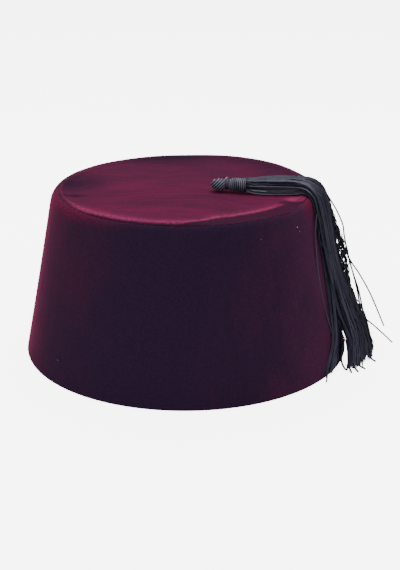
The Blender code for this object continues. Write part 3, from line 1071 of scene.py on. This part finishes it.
def strandPiece():
    look = skirtLook
    rng = np.random.default_rng(look["seed"])
    leftCount = int(look["strands"] * look["leftShare"])
    mainCount = look["strands"] - leftCount
    main, mainTones = strandSet(rng, mainCount, mainBundle)
    left, leftTones = strandSet(rng, leftCount, leftBundle)
    routes = smoothRoutes(np.concatenate([main, left]), look["steps"])
    routes = aboveFloor(routes, look["radius"] * 1.2)
    tones = np.concatenate([mainTones, leftTones])[:, None]

    # On the top, painted light low on the near side and painted shade in the grooves between locks
    along = np.linspace(0, 1, routes.shape[1])[None, :]
    onTop = 1 - ramp(along, 0.26, 0.08)
    low = 1 - ramp(routes[:, :, 2], hat["ridgeHeight"], 6 * mm)
    lowPaintedLight = 0.60 * low * (0.3 + tones) + 1.7 * low**2
    tones = (0.8 - 0.14 * onTop) * tones + lowPaintedLight * onTop
    phase = routes[:, 5, 1] / look["grooveAcross"] + routes[:, 5, 2] / look["grooveHigh"]
    grooveShade = look["grooveDepth"] - np.abs(np.sin(math.pi * phase))[:, None]
    tones = tones * (1 - onTop * grooveShade)

    # Down the side, darker on the upper fall and lighter low in the left clump
    fall = ramp(along, 0.40, 0.08) * (1 - ramp(along, 0.72, 0.08))
    clump = ramp(along, 0.62, 0.14) * (np.arange(len(tones)) >= mainCount)[:, None]
    tones = tones * (1 - look["fallLoss"] * fall) + look["clumpGain"] * clump
    tubePiece(
        "tassel_strands", routes, look["radius"], look["sides"], tones,
        looseSilk, ["tassel_skirt"],
    )


def kinkedPiece():
    look = skirtLook
    rng = np.random.default_rng(look["seed"] + 1)
    places, tones = strandSet(rng, look["kinkedStrands"], kinkedBundle)
    routes = smoothRoutes(places, look["kinkedSteps"])
    steps = np.diff(routes, axis=1, prepend=routes[:, :1])
    length = np.cumsum(np.linalg.norm(steps, axis=2), axis=1)
    share = np.linspace(0, 1, routes.shape[1])[None, :]
    strength = ramp(share, 0.48, 0.1) * (1 - ramp(share, 0.82, 0.1)) * look["kink"]
    each = (len(routes), 1)
    for axis in range(3):
        pitch = look["kinkPitch"] * rng.uniform(0.7, 1.6, each)
        wave = np.sin(2 * math.pi * length / pitch + rng.uniform(0, 6.3, each))
        routes[:, :, axis] += strength * wave * rng.uniform(0.3, 1.2, each)
    routes = aboveFloor(routes, look["radius"] * 1.2)
    tones = tones[:, None] * 0.5
    tubePiece(
        "kinked_strands", routes, look["radius"], look["sides"] + 1, tones,
        looseSilk,
    )


kinkedPiece()
strandPiece()
print("strands made")

# Stray strands, each through seven places, as x, y and z in mm
strayLook = {"radius": 0.46 * mm, "pokerRadius": 0.58 * mm, "sides": 6, "steps": 5}
strayRoutes = {
    "over_the_edge": (
        75.5, -10, 100.5, 80.8, -10, 91.8, 85.3, -10, 84.7, 89.5, -10, 75.8,
        90.6, -10, 69.7, 92.6, -10, 61, 95, -10, 52,
    ),
    "long_upper": (
        88.5, -12, 68, 91.2, -12, 61.5, 95.4, -12, 53.4, 100.2, -12, 46.5,
        106.7, -12, 35.3, 112, -12, 24, 116.5, -12, 13.7,
    ),
    "long_lower": (
        92, -16, 44, 95.5, -16, 35, 99, -16, 27.5, 102.7, -16, 21.8,
        109.5, -16, 16, 116, -16, 10, 121.4, -16, 4.7,
    ),
    "beside_a": (
        92.2, -8, 63, 93.6, -8, 57, 95.2, -8, 51.9, 99.5, -8, 37.6,
        102.1, -8, 26.2, 104, -8, 18.5, 107.6, -8, 8.8,
    ),
    "beside_b": (
        92.6, -9, 62, 94.4, -9, 54, 97.4, -9, 45, 100.6, -9, 36,
        103, -9, 27, 105, -9, 18, 107, -9, 9,
    ),
    "bowed": (
        72.5, -30, 93, 73.4, -33, 87, 73.9, -34, 80.5, 73.2, -34.5, 76.7,
        74.4, -34, 73, 77.6, -33.5, 68.9, 82.2, -32, 64.8,
    ),
    "poker_a": (
        89.6, -39, 17, 88.6, -40, 10, 88.2, -41, 5, 89.2, -43.5, 2,
        90.8, -45, 0.6, 91.5, -43, 0.9, 92, -41, 2.5,
    ),
    "poker_b": (
        92, -37, 14, 92.2, -38, 9, 92.4, -39.5, 4, 92.6, -41, 1.5,
        92.8, -43.5, 0.5, 93, -46, 0.4, 93.1, -48.5, 0.4,
    ),
    "poker_c": (
        94, -36, 13, 94.4, -37, 8, 94.8, -38.5, 4, 95.2, -40, 1.6,
        95.8, -42.5, 0.6, 96.4, -45, 0.4, 97, -47.6, 0.4,
    ),
    "poker_d": (
        95, -34, 13, 96, -35, 8, 97, -36.5, 4, 98, -38, 1.6,
        99.2, -40, 0.6, 100.4, -42, 0.4, 101.6, -43.6, 0.4,
    ),
    "poker_e": (
        103, -26, 13, 104.2, -27, 8, 105.4, -28, 4, 106.4, -29, 1.6,
        107.4, -30.5, 0.6, 108.2, -32, 0.4, 109, -33.4, 0.4,
    ),
    "clump_tip": (
        84, -37, 13, 82.6, -42, 9, 80.8, -48, 5, 79.2, -53, 2.4,
        78.6, -56, 1.2, 78.2, -58, 0.6, 77.8, -60.4, 0.4,
    ),
    "left_edge": (
        74, -27.5, 92, 71.6, -34.2, 87, 71, -38.6, 77, 72.2, -40.6, 62,
        75, -41.2, 47, 78.8, -41.4, 32, 82.6, -39.6, 20,
    ),
}


def strayPiece():
    look = strayLook
    stations = np.array(list(strayRoutes.values())).reshape(len(strayRoutes), -1, 3) * mm
    routes = smoothRoutes(stations, look["steps"])
    tones = np.linspace(0.05, 0.4, len(routes))[:, None]
    pokers = [name.startswith("poker") for name in strayRoutes]
    radius = np.where(pokers, look["pokerRadius"], look["radius"])[:, None]
    routes = aboveFloor(routes, radius * 1.05)
    tubePiece("stray_strands", routes, radius, look["sides"], tones, looseSilk)


strayPiece()
print("stray strands made")

# Floor, lights and camera
studio = {
    "floorSize": 400.0,
    "floorColour": (0.86, 0.86, 0.87, 1),
    "floorGlow": 5.6,  # what the camera sees of the lit paper, not what it gives the hat
    "world": 0.55,
    "paper": 6.0,  # what the camera sees past the floor's far edge
    "aim": (0, 0, 0.05),
    "lamps": {  # place, size and power
        "overhead_softbox": ((0.0, 0.25, 1.2), 1.1, 20.0),
        "front_fill": ((-0.5, -1.2, 0.9), 0.9, 4.5),
    },
}
black, white = (0, 0, 0, 1), (1, 1, 1, 1)


def studioFloor():
    bpy.ops.mesh.primitive_plane_add(size=studio["floorSize"])
    floor = bpy.context.object
    floor.name = "studio_floor"
    material, shader, place = newMaterial("pale_floor")
    seen = place.add("ShaderNodeLightPath")
    uniform = {
        "Base Color": studio["floorColour"],
        "Roughness": 0.8,
        "Emission Strength": studio["floorGlow"],
    }
    finishShader(shader, place, uniform, {"Emission Color": seen.blend(black, white)})
    floor.data.materials.append(material)


def softLight(name, place, size, power):
    data = bpy.data.lights.new(name, "AREA")
    data.shape = "DISK"
    data.size = size
    data.energy = power
    lamp = bpy.data.objects.new(name, data)
    lamp.location = place
    toAim = Vector(studio["aim"]) - Vector(place)
    lamp.rotation_euler = toAim.to_track_quat("-Z", "Y").to_euler()
    bpy.context.scene.collection.objects.link(lamp)


def studioWorld():  # gives soft light, and shows the camera bright paper
    world = bpy.data.worlds.new("studio_world")
    world.use_nodes = True
    sky = shaderValue(world.node_tree)

    def shine(strength):
        return sky.add("ShaderNodeBackground", {}, {"Color": white, "Strength": strength})

    seen = sky.add("ShaderNodeLightPath")
    light, paper = shine(studio["world"]), shine(studio["paper"])
    backdrop = sky.add("ShaderNodeMixShader", {}, {0: seen, 1: light, 2: paper})
    sky.plug(world.node_tree.nodes["World Output"].inputs["Surface"], backdrop)
    bpy.context.scene.world = world


studioFloor()
for lampName, lampLook in studio["lamps"].items():
    softLight(lampName, *lampLook)
studioWorld()

view = {
    "place": (0.00814, -0.585, 0.2531),
    "pitch": 0.357,
    "focalPixels": 1053,
    "longSide": 570,
    "sensor": 36.0,
}
cameraData = bpy.data.cameras.new("camera")
cameraData.sensor_width = view["sensor"]
cameraData.lens = view["focalPixels"] * view["sensor"] / view["longSide"]
camera = bpy.data.objects.new("camera", cameraData)
camera.location = view["place"]
camera.rotation_euler = (math.pi / 2 - view["pitch"], 0, 0)
bpy.context.scene.collection.objects.link(camera)
bpy.context.scene.camera = camera
print("studio ready")
